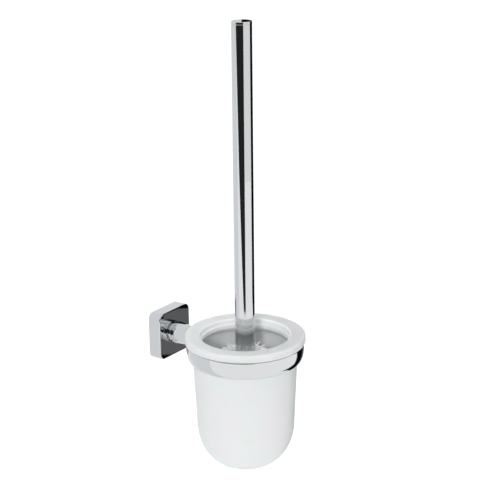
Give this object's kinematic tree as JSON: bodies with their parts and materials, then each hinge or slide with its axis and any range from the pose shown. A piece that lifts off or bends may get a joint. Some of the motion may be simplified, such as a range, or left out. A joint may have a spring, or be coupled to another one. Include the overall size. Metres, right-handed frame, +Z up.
{
  "type": "toilet brush holder",
  "caption": "Wall-mounted toilet brush holder: frosted glass cup hung in a chromed ring on a square rosette, with a lift-out brush on a tall tube handle.",
  "frame": {"origin": "midpoint of the two wall holes, on the back plane of the wall bracket, level with the arm's axis", "axes": "+Y into the wall, +Z up along the handle, +X to the right seen from the front; the cup stands out along -Y"},
  "size_m": [0.11, 0.149, 0.4105],
  "materials": {
    "chrome": "bright nickel-chrome plate, mirror polished",
    "zinc_plated_steel": "bright zinc plate",
    "stainless_steel": "machined",
    "frosted_glass": "acid-frosted, satin",
    "clear_plastic": "translucent, moulded",
    "white_plastic": "moulded",
    "nylon_bristle": "drawn filament"
  },
  "bodies": {
    "holder": {"wall_bracket": "zinc_plated_steel", "rosette": "chrome", "set_screw": "stainless_steel", "arm_washer": "stainless_steel", "arm_screw": "stainless_steel", "arm_collar": "chrome", "arm": "chrome", "ring": "chrome", "cup_seat": "clear_plastic"},
    "cup": {"cup": "frosted_glass"},
    "handle": {"handle_tube": "chrome", "handle_cap": "chrome", "handle_insert": "white_plastic", "handle_stud": "stainless_steel"},
    "brush_head": {"head_core": "white_plastic", "crown_tuft": "nylon_bristle", "bristle_row_01": "nylon_bristle", "bristle_row_02": "nylon_bristle", "bristle_row_03": "nylon_bristle", "bristle_row_04": "nylon_bristle", "bristle_row_05": "nylon_bristle", "bristle_row_06": "nylon_bristle", "bristle_row_07": "nylon_bristle", "bristle_row_08": "nylon_bristle", "bristle_row_09": "nylon_bristle", "bristle_row_10": "nylon_bristle", "bristle_row_11": "nylon_bristle", "bristle_row_12": "nylon_bristle", "end_tuft": "nylon_bristle"}
  },
  "joints": [
    {"name": "cup_lift", "type": "slide", "parent": "holder", "child": "cup", "axis": [0, 0, 1], "range_m": [0, 0.13]},
    {"name": "brush_lift", "type": "slide", "parent": "cup", "child": "handle", "axis": [0, 0, 1], "range_m": [0, 0.13]},
    {"name": "head_unscrew", "type": "hinge", "parent": "handle", "child": "brush_head", "pos_m": [0, -0.094, -0.01], "axis": [0, 0, -1], "continuous": true}
  ]
}
